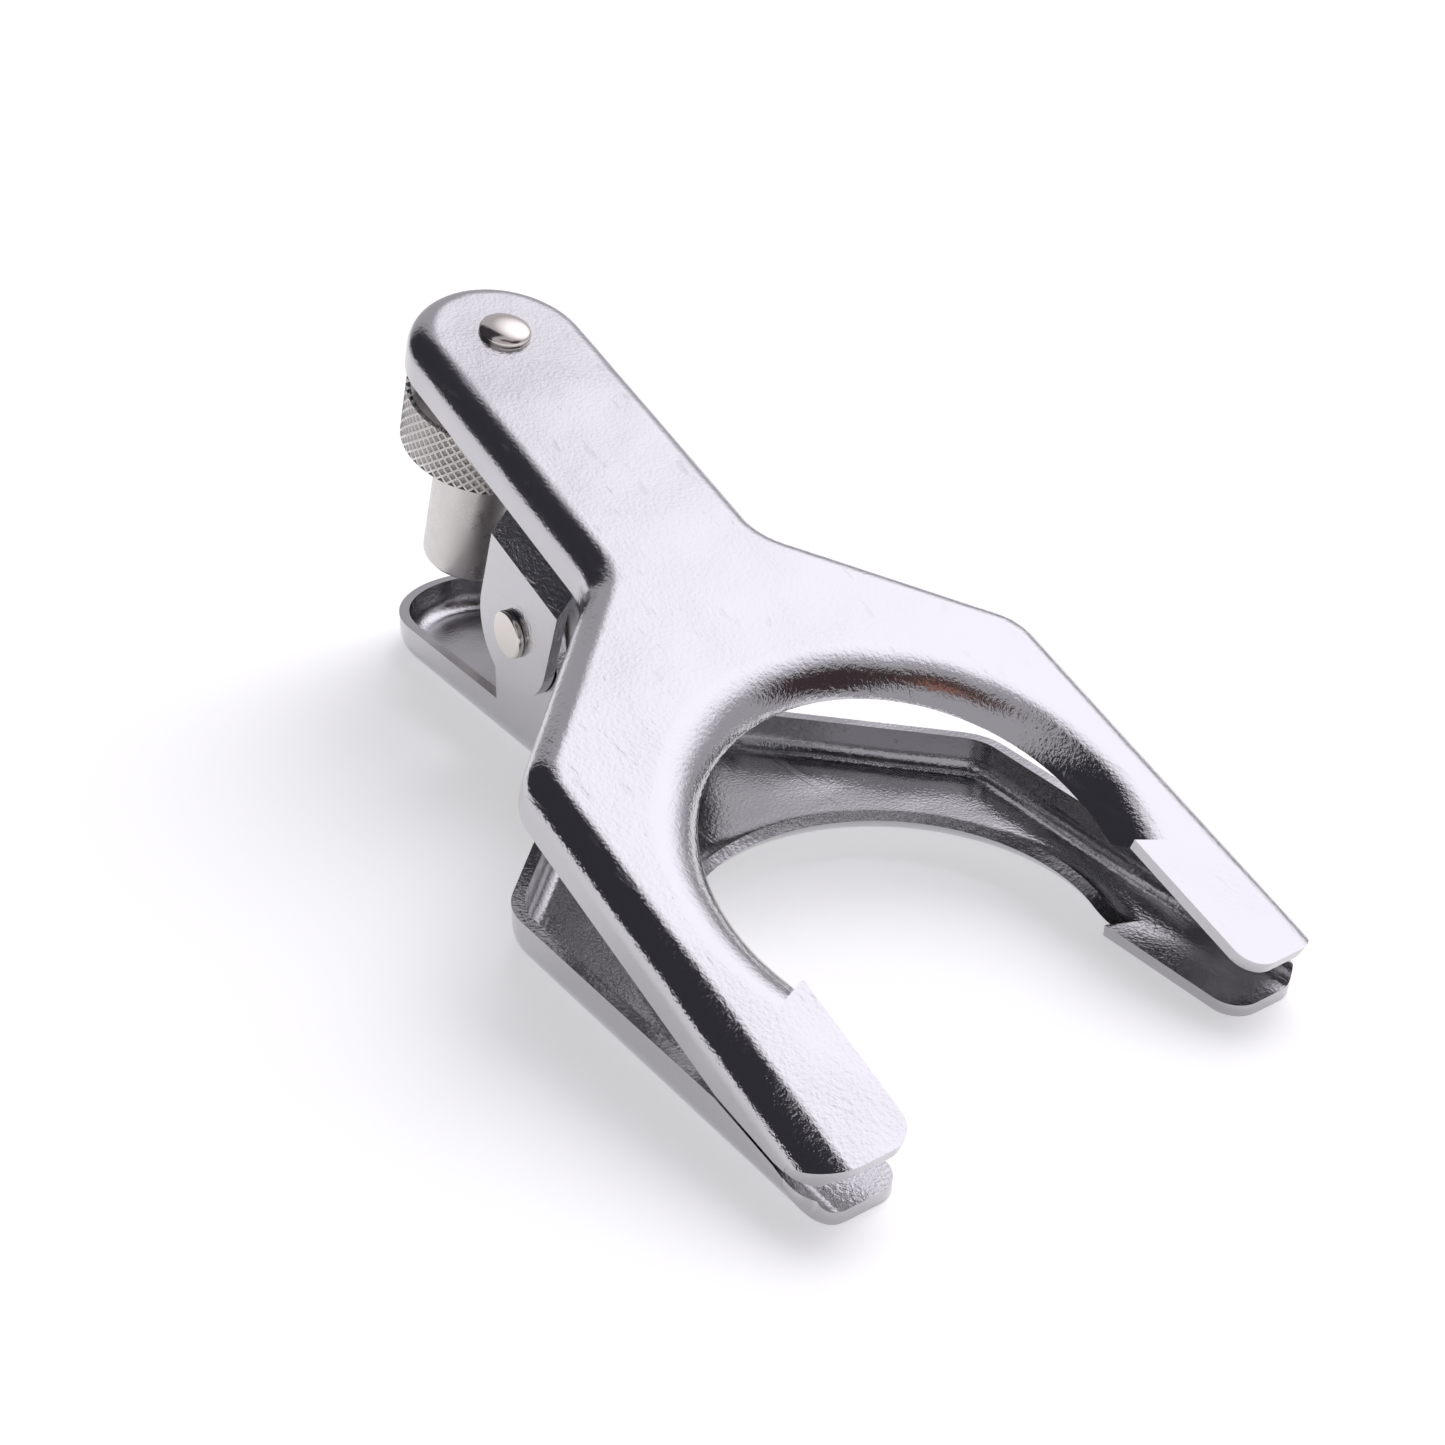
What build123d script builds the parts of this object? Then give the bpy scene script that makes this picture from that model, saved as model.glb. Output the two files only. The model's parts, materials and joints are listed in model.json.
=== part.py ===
from build123d import *
import os
from math import acos, atan2, cos, hypot, pi, radians, sin, tan

# Pinch clamp for spherical ground joints: two pressed fork jaws on one pivot pin, a torsion
# spring that closes them, and a nut on a threaded stud that locks them closed.
# Row frame: +X runs to the fork, +Z up, the origin lies on the lower jaw's flat underside,
# straight below the pivot pin.

# ---- sheet ----
sheet = 1.0                # thickness of both jaws
bend_radius = 2.6          # outside radius of the skirt's bend
skirt_height = 4.4         # outer face to rim

# ---- jaw outline, X measured from the pivot pin ----
handle_half_width = 8.6
handle_end_x = -23.0       # centre of the rounded handle end, where the stud is riveted
neck_x = 7.4               # corner between handle and shoulder
neck_radius = 5.0
shoulder_x = 24.4          # corner between shoulder and fork arm
shoulder_radius = 5.5
fork_half_width = 24.6     # at the shoulder
tip_half_width = 23.9      # at the tips
tip_x = 61.7
tip_corner_radius = 3.0
tip_inner_radius = 2.2

# ---- fork opening ----
seat_x = 41.4              # centre of the round seat
seat_radius = 16.5         # clear radius inside the seat's dished edge
seat_bend_radius = 5.0     # outside radius of the dish
seat_dish_angle = 58.0     # how far the dish turns down from the plate
seat_half_angle = 113.0    # the dish runs this far each way from the rear
seat_ramp_angle = 42.0     # slope on which each end of the dish runs out
mouth_half_width = 15.9    # between the tips

# ---- closed pose ----
pin_height = 13.6          # pin axis above each jaw's outer face
tip_gap = 5.44             # between the outer faces of the closed jaws at their tips
rim_gap = 0.3              # left between the two rims where they close
tip_rim_height = 1.9       # rim at the very tip
tip_rim_start = 4.0        # the last stretch, where the rim drops to it

# ---- ears and pin ----
lower_ear_radius = 5.5
upper_ear_radius = 5.7
ear_gap = 0.15             # between an upper ear and the lower ear inside it
ear_joggle_height = 2.4    # height over which an upper ear steps outwards
pin_diameter = 3.0
pin_running_clearance = 0.05
pin_head_diameter = 4.4
pin_head_height = 0.7
pin_head_fillet = 0.25

# ---- spring ----
wire_diameter = 1.5
coil_inner_diameter = 5.4
coil_turns = 7
coil_pitch = 1.62
leg_reach = 9.0            # how far behind the pin each leg touches its jaw
leg_foot_length = 4.0      # each leg ends in a foot turned along the pin
leg_clearance = 0.05       # between a foot and the jaw it bears on
knuckle_swell = 0.05       # how much a bend of the wire stands out of it

# ---- locking stud and nut ----
rivet_head_diameter = 4.8
rivet_head_height = 1.1
rivet_shank_diameter = 3.0
stud_diameter = 4.0
stud_length = 17.5         # below the plate
collar_diameter = 6.4      # shoulder that the stud is riveted against
collar_height = 0.8
nut_clearance = 0.06       # radial, stands for the thread's play
nut_top = 6.8              # depth of the nut's top below the upper jaw's outer face
knurl_diameter = 16.5
knurl_height = 5.4
knurl_chamfer = 0.5
sleeve_diameter = 9.2
sleeve_length = 14.3
sleeve_bore = 5.2
sleeve_fillet = 0.5
sleeve_spigot_diameter = 7.0
spigot_clearance = 0.03

# ---- worked-out places ----
seat_run = seat_bend_radius * sin(radians(seat_dish_angle))
seat_depth = seat_bend_radius - (seat_bend_radius - sheet) * cos(radians(seat_dish_angle))
pin_centre = Vector(0, 0, pin_height)
tilt = 2 * atan2(pin_height - tip_gap / 2, tip_x)
upper_normal = Vector(sin(tilt), 0, cos(tilt))
upper_face = Plane(
    origin=pin_centre + upper_normal * pin_height,
    x_dir=(cos(tilt), 0, -sin(tilt)),
    z_dir=-upper_normal,
)


def outline(inset=0.0):
    """Plan of a jaw's outer contour, drawn in by inset. Its arms run on past the tips."""
    arm_slope = (tip_half_width - fork_half_width) / (tip_x - shoulder_x)
    arm_end = tip_x + 2 * skirt_height
    end_half_width = tip_half_width + arm_slope * 2 * skirt_height
    with BuildSketch() as plan:
        with BuildLine():
            sides = Polyline(
                (handle_end_x, handle_half_width),
                (neck_x, handle_half_width),
                (shoulder_x, fork_half_width),
                (arm_end, end_half_width),
                (arm_end, -end_half_width),
                (shoulder_x, -fork_half_width),
                (neck_x, -handle_half_width),
                (handle_end_x, -handle_half_width),
            )
            ThreePointArc(sides @ 1, (handle_end_x - handle_half_width, 0), sides @ 0)
        make_face()
        corners = plan.vertices()
        fillet(corners.filter_by(lambda v: abs(v.X - neck_x) < 0.01), neck_radius)
        fillet(plan.vertices().filter_by(lambda v: abs(v.X - shoulder_x) < 0.01), shoulder_radius)
        if inset:
            offset(amount=-inset, mode=Mode.REPLACE)
    return plan.sketch


def rim_height_at(x):
    """Height of the line where the closed jaws meet, less half the gap between their rims."""
    return pin_height - x * tan(tilt / 2) - rim_gap / 2


def beyond_tips():
    """Plan of what is cut off past the tips, which leaves their outer corners round."""
    side = fork_half_width + sheet
    round_x = tip_x - tip_corner_radius
    round_y = tip_half_width - tip_corner_radius
    far_x = tip_x + 3 * skirt_height
    with BuildSketch() as plan:
        with BuildLine():
            Polyline(
                (round_x, tip_half_width),
                (round_x, side),
                (far_x, side),
                (far_x, -side),
                (round_x, -side),
                (round_x, -tip_half_width),
            )
            RadiusArc((round_x, -tip_half_width), (tip_x, -round_y), -tip_corner_radius)
            Line((tip_x, -round_y), (tip_x, round_y))
            RadiusArc((tip_x, round_y), (round_x, tip_half_width), -tip_corner_radius)
        make_face()
    return plan.sketch


def fork_opening():
    """Plan of what is cut from the plate: the seat, out to its dish, and the mouth."""
    reach = seat_radius + seat_run
    with BuildSketch() as plan:
        with BuildLine():
            arc = CenterArc((seat_x, 0), reach, 180 - seat_half_angle, 2 * seat_half_angle)
            Line(arc @ 1, (seat_x, 0))
            Line((seat_x, 0), arc @ 0)
        make_face()
        corner_x = tip_x - tip_inner_radius
        flared = mouth_half_width + tip_inner_radius
        with BuildLine():
            Polyline(
                (corner_x, -mouth_half_width),
                (seat_x, -mouth_half_width),
                (seat_x, mouth_half_width),
                (corner_x, mouth_half_width),
            )
            RadiusArc((corner_x, mouth_half_width), (tip_x, flared), -tip_inner_radius)
            Polyline(
                (tip_x, flared),
                (tip_x + sheet, flared),
                (tip_x + sheet, -flared),
                (tip_x, -flared),
            )
            RadiusArc((tip_x, -flared), (corner_x, -mouth_half_width), -tip_inner_radius)
        make_face()
    return plan.sketch


def seat_dish():
    """Section of the seat's dished edge, from the plate round its bend to the cut edge."""
    inner_bend = seat_bend_radius - sheet
    lip_x = seat_x - seat_radius
    plate_end = lip_x - seat_run
    turn = radians(seat_dish_angle)
    outer_lip = (lip_x, seat_bend_radius * (1 - cos(turn)))
    inner_lip = (plate_end + inner_bend * sin(turn), seat_depth)
    with BuildSketch(Plane.XZ) as section:
        with BuildLine():
            Line((plate_end, sheet), (plate_end, 0))
            RadiusArc((plate_end, 0), outer_lip, -seat_bend_radius)
            Line(outer_lip, inner_lip)
            RadiusArc(inner_lip, (plate_end, sheet), inner_bend)
        make_face()
    return section.sketch


def seat_run_outs():
    """What is cut from the dish so that each of its ends slopes down to the plate."""
    top = seat_depth + sheet
    run = (top - sheet) / tan(radians(seat_ramp_angle))
    end_angle = radians(180 - seat_half_angle)
    outward = Vector(cos(end_angle), sin(end_angle), 0)
    back = Vector(-sin(end_angle), cos(end_angle), 0)
    dish_end = Vector(seat_x, 0, 0) + outward * (seat_radius - sheet)
    with BuildPart() as cut:
        with BuildSketch(Plane(origin=dish_end, x_dir=back, z_dir=outward)):
            with BuildLine():
                Polyline((0, sheet), (run, top), (0, top), close=True)
            make_face()
        extrude(amount=seat_run + 2 * sheet)
        mirror(about=Plane.XZ)
    return cut.part


def ear_side(radius):
    """Side view of an ear: straight edges up to the pin and a round top about it."""
    with BuildSketch(Plane.XZ.offset(-fork_half_width)) as side:
        with Locations((0, pin_height)):
            Circle(radius)
        with Locations((0, bend_radius)):
            Rectangle(2 * radius, pin_height - bend_radius, align=(Align.CENTER, Align.MIN))
    return side.sketch


def ear_section(step, radius):
    """Section across an ear that steps outwards by step above the skirt."""
    wall = handle_half_width
    top = pin_height + radius
    knee = skirt_height + ear_joggle_height
    with BuildSketch(Plane.YZ.offset(-radius)) as section:
        with BuildLine():
            Polyline(
                (wall - sheet, bend_radius),
                (wall, bend_radius),
                (wall, skirt_height),
                (wall + step, knee),
                (wall + step, top),
                (wall + step - sheet, top),
                (wall + step - sheet, knee),
                (wall - sheet, skirt_height),
                close=True,
            )
        make_face()
    return section.sketch


def jaw(ear_radius, ear_step, pin_hole_radius):
    """A pressed jaw, outer face down on Z = 0, skirt and ears up, pin axis above X = 0."""
    with BuildPart() as cavity:
        extrude(outline(sheet).moved(Location((0, 0, sheet))), amount=skirt_height)
        fillet(cavity.faces().sort_by(Axis.Z)[0].edges(), bend_radius - sheet)

    run_outs = seat_run_outs()
    with BuildPart() as ears:
        extrude(ear_section(ear_step, ear_radius), amount=2 * ear_radius)
        extrude(ear_side(ear_radius), amount=2 * fork_half_width, mode=Mode.INTERSECT)
        mirror(about=Plane.XZ)

    with BuildPart() as pressed:
        extrude(outline(), amount=skirt_height)
        fillet(pressed.faces().sort_by(Axis.Z)[0].edges(), bend_radius)
        add(cavity.part, mode=Mode.SUBTRACT)

        # the rim follows the line where the jaws meet, then drops at the tip
        meet_x = (pin_height - rim_gap / 2 - skirt_height) / tan(tilt / 2)
        drop_x = tip_x - tip_rim_start
        with BuildSketch(Plane.XZ.offset(-2 * fork_half_width)):
            with BuildLine():
                Polyline(
                    (meet_x, skirt_height),
                    (drop_x, rim_height_at(drop_x)),
                    (tip_x, tip_rim_height),
                    (tip_x, 2 * skirt_height),
                    (meet_x, 2 * skirt_height),
                    close=True,
                )
            make_face()
        extrude(amount=4 * fork_half_width, mode=Mode.SUBTRACT)

        extrude(beyond_tips(), amount=2 * skirt_height, mode=Mode.SUBTRACT)
        extrude(fork_opening(), amount=2 * skirt_height, mode=Mode.SUBTRACT)

        seat_axis = Axis((seat_x, 0, 0), (0, 0, 1))
        rotated_section = seat_dish().rotate(seat_axis, -seat_half_angle)
        revolve(rotated_section, axis=seat_axis, revolution_arc=2 * seat_half_angle)
        add(run_outs, mode=Mode.SUBTRACT)

        add(ears.part)
        with Locations(Plane(origin=pin_centre, z_dir=(0, 1, 0))):
            Cylinder(pin_hole_radius, 4 * handle_half_width, mode=Mode.SUBTRACT)
    return pressed


def save(piece, name):
    piece.part.label = name
    export_step(piece.part, f"parts/{name}.step")


os.makedirs("parts", exist_ok=True)

# ---- lower jaw ----
lower_jaw = jaw(lower_ear_radius, 0.0, pin_diameter / 2 + pin_running_clearance)
save(lower_jaw, "lower_jaw")

# ---- upper jaw: the same pressing with its ears stepped out over the lower ones ----
upper_step = sheet + ear_gap
upper_blank = jaw(upper_ear_radius, upper_step, pin_diameter / 2)
with BuildPart() as upper_jaw:
    add(upper_blank.part)
    with Locations((handle_end_x, 0, 0)):
        Cylinder(rivet_shank_diameter / 2, 4 * sheet, mode=Mode.SUBTRACT)
upper_jaw.part.locate(upper_face.location)
save(upper_jaw, "upper_jaw")

# ---- pivot pin, headed over both upper ears ----
pin_grip = 2 * (handle_half_width + upper_step)
with BuildPart() as pivot_pin:
    with Locations(Plane(origin=pin_centre, z_dir=(0, 1, 0))):
        Cylinder(pin_diameter / 2, pin_grip)
        for side in (-1, 1):
            with Locations((0, 0, side * (pin_grip + pin_head_height) / 2)):
                Cylinder(pin_head_diameter / 2, pin_head_height)
    ends = pivot_pin.edges().filter_by(GeomType.CIRCLE).sort_by(Axis.Y)
    fillet([ends[0], ends[-1]], pin_head_fillet)
save(pivot_pin, "pivot_pin")

# ---- closing spring: a coil round the pin, a leg bearing on each handle's floor ----
coil_radius = (coil_inner_diameter + wire_diameter) / 2
knuckle_radius = wire_diameter / 2 + knuckle_swell
foot_height = sheet + knuckle_radius + leg_clearance
lower_foot = Vector(-leg_reach, 0, foot_height)
upper_foot = upper_face.from_local_coords(lower_foot)


def leave_angle(foot, side):
    """Angle round the pin where a leg from foot meets the coil, on its front side."""
    arm = foot - pin_centre
    return atan2(arm.Z, arm.X) + side * acos(coil_radius / hypot(arm.X, arm.Z))


def on_coil(angle, y):
    return pin_centre + Vector(coil_radius * cos(angle), y, coil_radius * sin(angle))


lower_angle = leave_angle(lower_foot, 1)
upper_angle = leave_angle(upper_foot, -1)
wound_turns = coil_turns + ((upper_angle - lower_angle) / (2 * pi)) % 1
coil_length = wound_turns * coil_pitch

coil_plane = Plane(
    origin=pin_centre - (0, coil_length / 2, 0),
    x_dir=(cos(lower_angle), 0, sin(lower_angle)),
    z_dir=(0, 1, 0),
)
coil_path = coil_plane * Helix(coil_pitch, coil_length, coil_radius, lefthand=True)

with BuildPart() as closing_spring:
    with BuildSketch(Plane(coil_path @ 0, z_dir=coil_path % 0)):
        Circle(wire_diameter / 2)
    sweep(path=coil_path, is_frenet=True)
    for foot, angle, side in ((lower_foot, lower_angle, -1), (upper_foot, upper_angle, 1)):
        start = on_coil(angle, side * coil_length / 2)
        heel = Vector(foot.X, start.Y, foot.Z)
        toe = heel - (0, side * leg_foot_length, 0)
        for a, b in ((start, heel), (heel, toe)):
            with BuildSketch(Plane(a, z_dir=b - a)):
                Circle(wire_diameter / 2)
            extrude(amount=(b - a).length)
        with Locations(start, heel):
            Sphere(knuckle_radius)
save(closing_spring, "closing_spring")


def turned(profile):
    """A turned piece on the stud's axis, drawn as (radius, depth below the outer face)."""
    with BuildPart() as piece:
        with BuildSketch(Plane.XZ):
            with BuildLine():
                Polyline(*((handle_end_x + r, depth) for r, depth in profile), close=True)
            make_face()
        revolve(axis=Axis((handle_end_x, 0, 0), (0, 0, 1)))
    return piece


# ---- locking stud, riveted through the upper handle's end ----
collar_bottom = sheet + collar_height
with BuildPart() as lock_stud:
    add(turned([
        (0, 0),
        (rivet_shank_diameter / 2, 0),
        (rivet_shank_diameter / 2, sheet),
        (collar_diameter / 2, sheet),
        (collar_diameter / 2, collar_bottom),
        (stud_diameter / 2, collar_bottom),
        (stud_diameter / 2, sheet + stud_length),
        (0, sheet + stud_length),
    ]).part)
    head_radius = rivet_head_diameter / 2
    dome_radius = (head_radius**2 + rivet_head_height**2) / (2 * rivet_head_height)
    with BuildSketch(Plane.XZ):
        with BuildLine():
            Line((handle_end_x, -rivet_head_height), (handle_end_x, 0))
            Line((handle_end_x, 0), (handle_end_x + head_radius, 0))
            RadiusArc((handle_end_x + head_radius, 0), (handle_end_x, -rivet_head_height), dome_radius)
        make_face()
    revolve(axis=Axis((handle_end_x, 0, 0), (0, 0, 1)))
    end_edge = lock_stud.edges().filter_by(GeomType.CIRCLE).sort_by(Axis.Z)[-1]
    chamfer(end_edge, sheet / 2)
lock_stud.part.locate(upper_face.location)
save(lock_stud, "lock_stud")

# ---- lock nut: a sleeve that runs along the stud and the knurled head that turns it ----
thread_radius = stud_diameter / 2 + nut_clearance
head_bottom = nut_top + knurl_height
sleeve_end = head_bottom + sleeve_length
spigot_radius = sleeve_spigot_diameter / 2
nut_sleeve = turned([
    (thread_radius, nut_top),
    (spigot_radius, nut_top),
    (spigot_radius, head_bottom + spigot_clearance),
    (sleeve_diameter / 2, head_bottom + spigot_clearance),
    (sleeve_diameter / 2, sleeve_end - sleeve_fillet),
    (sleeve_diameter / 2 - sleeve_fillet, sleeve_end),
    (sleeve_bore / 2, sleeve_end),
    (sleeve_bore / 2, head_bottom),
    (thread_radius, head_bottom - (sleeve_bore / 2 - thread_radius)),
])
nut_sleeve.part.locate(upper_face.location)
save(nut_sleeve, "nut_sleeve")

nut_head = turned([
    (spigot_radius + spigot_clearance, nut_top),
    (knurl_diameter / 2 - knurl_chamfer, nut_top),
    (knurl_diameter / 2, nut_top + knurl_chamfer),
    (knurl_diameter / 2, head_bottom - knurl_chamfer),
    (knurl_diameter / 2 - knurl_chamfer, head_bottom),
    (spigot_radius + spigot_clearance, head_bottom),
])
nut_head.part.locate(upper_face.location)
save(nut_head, "nut_head")
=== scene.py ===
import functools
import json
import math

import bmesh
import bpy
from mathutils import Matrix, Vector


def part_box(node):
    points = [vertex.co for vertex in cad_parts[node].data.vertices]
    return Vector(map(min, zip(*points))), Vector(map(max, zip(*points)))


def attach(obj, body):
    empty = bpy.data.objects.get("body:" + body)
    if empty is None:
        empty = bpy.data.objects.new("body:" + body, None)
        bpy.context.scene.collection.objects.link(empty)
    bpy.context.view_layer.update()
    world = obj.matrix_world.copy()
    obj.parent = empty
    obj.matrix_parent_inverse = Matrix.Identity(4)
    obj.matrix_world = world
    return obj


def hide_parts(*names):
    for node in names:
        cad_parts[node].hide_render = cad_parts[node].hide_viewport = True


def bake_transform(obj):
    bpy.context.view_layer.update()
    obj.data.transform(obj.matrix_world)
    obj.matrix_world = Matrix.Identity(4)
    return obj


bl_info = {
    "name": "Spherical Joint Clamp",
    "version": (1, 0, 0),
    "blender": (4, 5, 0),
    "location": "View3D > Sidebar > Clamp",
    "description": "Builds the visible pieces of a sprung fork clamp around its packed frame",
    "category": "Object",
}

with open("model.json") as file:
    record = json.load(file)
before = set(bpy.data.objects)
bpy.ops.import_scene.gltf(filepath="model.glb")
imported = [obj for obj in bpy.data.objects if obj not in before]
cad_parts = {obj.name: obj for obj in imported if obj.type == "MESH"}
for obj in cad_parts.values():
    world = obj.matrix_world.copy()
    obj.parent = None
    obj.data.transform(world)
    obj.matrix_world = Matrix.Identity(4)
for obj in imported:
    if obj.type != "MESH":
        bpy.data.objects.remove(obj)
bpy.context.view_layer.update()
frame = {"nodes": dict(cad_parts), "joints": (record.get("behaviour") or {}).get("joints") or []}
JOINTS = {joint["name"]: joint for joint in frame["joints"]}

MERGE_DISTANCE = 1e-6                   # points of a packed sheet that are one point
POLE_DISTANCE = 1e-7                    # points of a lathe's ring that close a pole
FLAT_ANGLE = math.radians(0.3)          # faces of the sheet that lie in one plane
COIL_STEP = math.radians(6)             # turn from one point of the coil to the next
CORNER_SHARE = 0.45                     # part of a side that one soft corner may take
DOME_ANGLES = [math.radians(degrees) for degrees in range(20, 91, 7)]   # rim to crown

PIN_CENTRE = Vector(JOINTS["jaw_pivot"]["pos_m"])
STUD_FOOT = Vector(JOINTS["nut_turn"]["pos_m"])      # on the upper jaw's outer face
STUD_UP = Vector(JOINTS["nut_turn"]["axis"]).normalized()


def stud_depth(node):
    """How deep under the upper jaw's outer face a node on the stud's axis starts and ends."""
    along = [STUD_UP.dot(STUD_FOOT - v.co) for v in frame["nodes"][node].data.vertices]
    return min(along), max(along)


def stud_radius(node):
    """Largest distance of a node's points from the stud's axis."""
    spokes = (v.co - STUD_FOOT for v in frame["nodes"][node].data.vertices)
    return max((spoke - STUD_UP * spoke.dot(STUD_UP)).length for spoke in spokes)


def depth_property(name, text, value):
    return bpy.props.FloatProperty(
        name=name, description=text, default=value, min=0.0, subtype="DISTANCE", unit="LENGTH",
        precision=5,
    )


def colour_property(name, text, value):
    return bpy.props.FloatVectorProperty(
        name=name, description=text, default=value, size=3, min=0.0, max=1.0, subtype="COLOR",
    )


# ---------------------------------------------------------------- sizes and finishes

class ClampSheetSettings(bpy.types.PropertyGroup):
    edge_round: depth_property("Edge round", "Rounding of every cut edge of the sheet", 0.00014)
    edge_angle: bpy.props.FloatProperty(
        name="Edge angle", description="Only edges turned by more than this are cut edges",
        default=math.radians(16), subtype="ANGLE", unit="ROTATION",
    )


class ClampPinSettings(bpy.types.PropertyGroup):
    shank_radius: depth_property("Shank radius", "Radius of the pin between its heads", 0.0015)
    head_height: depth_property("Head height", "Height of each of the pin's heads", 0.0007)
    head_round: depth_property("Head round", "Rounding of the pin's two heads", 0.00028)


class ClampSpringSettings(bpy.types.PropertyGroup):
    wire: depth_property("Wire", "Diameter of the spring's wire", 0.0015)
    coil_bore: depth_property("Coil bore", "Inner diameter of the coil", 0.0054)
    pitch: depth_property("Pitch", "Advance of the coil for each turn", 0.00162)
    turns: bpy.props.IntProperty(
        name="Turns", description="Whole turns between the two legs", default=7, min=1,
    )
    leg_reach: depth_property("Leg reach", "How far behind the pin a leg touches its jaw", 0.009)
    foot_height: depth_property("Foot height", "Height of a foot's middle over the jaw", 0.00185)
    foot_length: depth_property("Foot length", "Length of the foot turned along the pin", 0.004)
    heel_round: depth_property("Heel round", "Radius of the bend between leg and foot", 0.0013)


class ClampThreadSettings(bpy.types.PropertyGroup):
    pitch: depth_property("Pitch", "Pitch of the stud's thread", 0.0007)
    depth: depth_property("Thread depth", "Depth of the thread's groove", 0.00038)
    flank: bpy.props.FloatProperty(
        name="Flank", description="Steepness of the thread, which above one has a flat crest",
        default=1.25, min=1.0,
    )
    core_radius: depth_property("Stud radius", "Radius over the thread", 0.002)
    end_chamfer: depth_property("End chamfer", "Chamfer on the stud's free end", 0.0005)
    sheet: depth_property("Sheet", "Thickness of the sheet round the stud", 0.001)
    seat_depth: depth_property("Head seat", "How far the rivet head reaches into its hole", 0.0002)
    collar_radius: depth_property("Collar radius", "Radius of the collar under the sheet", 0.0032)
    collar_height: depth_property("Collar height", "Height of the collar under the sheet", 0.0008)
    collar_round: depth_property("Collar round", "Rounding of the collar's edges", 0.00012)
    thread_overlap: depth_property("Overlap", "How much of the thread lies in the neck", 0.0003)
    rivet_height: depth_property("Rivet height", "Height of the domed rivet head", 0.0011)
    rivet_radius: depth_property("Rivet radius", "Radius of the domed rivet head", 0.0024)
    rivet_side: depth_property("Rivet side", "Height of the rivet head's straight side", 0.0003)


class ClampKnurlSettings(bpy.types.PropertyGroup):
    around: bpy.props.IntProperty(
        name="Around", description="Diamonds round the nut's head", default=48, min=8,
    )
    rows: bpy.props.IntProperty(
        name="Rows", description="Diamonds along the nut's head", default=5, min=1,
    )
    depth: depth_property("Knurl depth", "How deep each diamond is pressed in", 0.00045)
    land: bpy.props.FloatProperty(
        name="Land", description="Part of a diamond taken up by its raised rim", default=0.24,
        min=0.0, max=1.0, subtype="FACTOR",
    )
    pit_floor: bpy.props.FloatProperty(
        name="Pit floor", description="Height of a pit's point, as part of the knurl's depth",
        default=0.06, min=0.0, max=1.0, subtype="FACTOR",
    )
    edge_round: depth_property("Edge round", "Rounding of the turned edges", 0.00022)
    head_bore: depth_property("Head bore", "Radius of the hole in the nut's head", 0.00353)
    spigot_radius: depth_property("Spigot radius", "Radius of the sleeve inside the head", 0.0035)
    bore_radius: depth_property("Bore radius", "Radius of the sleeve's wide bore", 0.0026)
    thread_radius: depth_property("Thread radius", "Radius of the nut's thread", 0.00206)
    thread_chamfer: depth_property("Thread chamfer", "Chamfer at both ends of the thread", 0.0005)
    head_gap: depth_property("Head gap", "Play between the head and the sleeve's shoulder", 0.00003)
    foot_slope: depth_property("Foot slope", "Width of the chamfer on the sleeve's foot", 0.0004)
    foot_rise: depth_property("Foot rise", "Height of the chamfer on the sleeve's foot", 0.00025)


class ClampFinishSettings(bpy.types.PropertyGroup):
    jaw_steel: colour_property("Jaw steel", "Bright pressed sheet", (0.53, 0.525, 0.54))
    pin_steel: colour_property("Pin steel", "Pin and rivet heads", (0.68, 0.64, 0.60))
    spring_wire: colour_property("Spring wire", "Drawn spring wire", (0.55, 0.55, 0.56))
    nut_metal: colour_property("Nut metal", "Plated nut", (0.62, 0.595, 0.575))


class ClampStageSettings(bpy.types.PropertyGroup):
    floor_size: depth_property("Floor size", "Width of the floor", 6.0)
    floor_drop: depth_property("Floor drop", "How far the floor lies under the clamp", 0.00002)
    floor_colour: colour_property("Floor", "Colour of the floor", (0.80, 0.80, 0.81))
    floor_glow: bpy.props.FloatProperty(
        name="Floor glow", description="Light given off by the floor, which keeps shadows faint",
        default=0.55, min=0.0,
    )
    lamp_power: bpy.props.FloatProperty(
        name="Lamp power", description="Power of the soft box over the floor, in watts",
        default=2.6, min=0.0, unit="POWER",
    )
    lamp_size: depth_property("Lamp size", "Width of the soft box", 0.55)
    lamp_place: bpy.props.FloatVectorProperty(
        name="Lamp place", description="Where the soft box hangs",
        default=(-0.15, 0.45, 0.70), size=3, subtype="TRANSLATION",
    )
    camera_place: bpy.props.FloatVectorProperty(
        name="Camera place", description="Where the camera stands",
        default=(0.1313, -0.0820, 0.0875), size=3, subtype="TRANSLATION",
    )
    camera_turn: bpy.props.FloatVectorProperty(
        name="Camera turn", description="How the camera is turned",
        default=tuple(math.radians(a) for a in (61.048, -1.142, 54.744)), size=3, subtype="EULER",
    )
    lens: bpy.props.FloatProperty(
        name="Lens", description="Focal length on a 36 mm sensor, in millimetres", default=47.58,
    )


# ---------------------------------------------------------------- mesh helpers

def link(name, mesh):
    piece = bpy.data.objects.new(name, mesh)
    bpy.context.scene.collection.objects.link(piece)
    return piece


def evaluated_mesh(piece):
    """A plain mesh of the piece as its modifiers leave it."""
    graph = bpy.context.evaluated_depsgraph_get()
    graph.update()
    return bpy.data.meshes.new_from_object(piece.evaluated_get(graph))


def bake_modifiers(piece):
    """Turns the piece with its modifiers into a plain mesh."""
    mesh = evaluated_mesh(piece)
    mesh.name = piece.name
    piece.modifiers.clear()
    piece.data = mesh
    return piece


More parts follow.
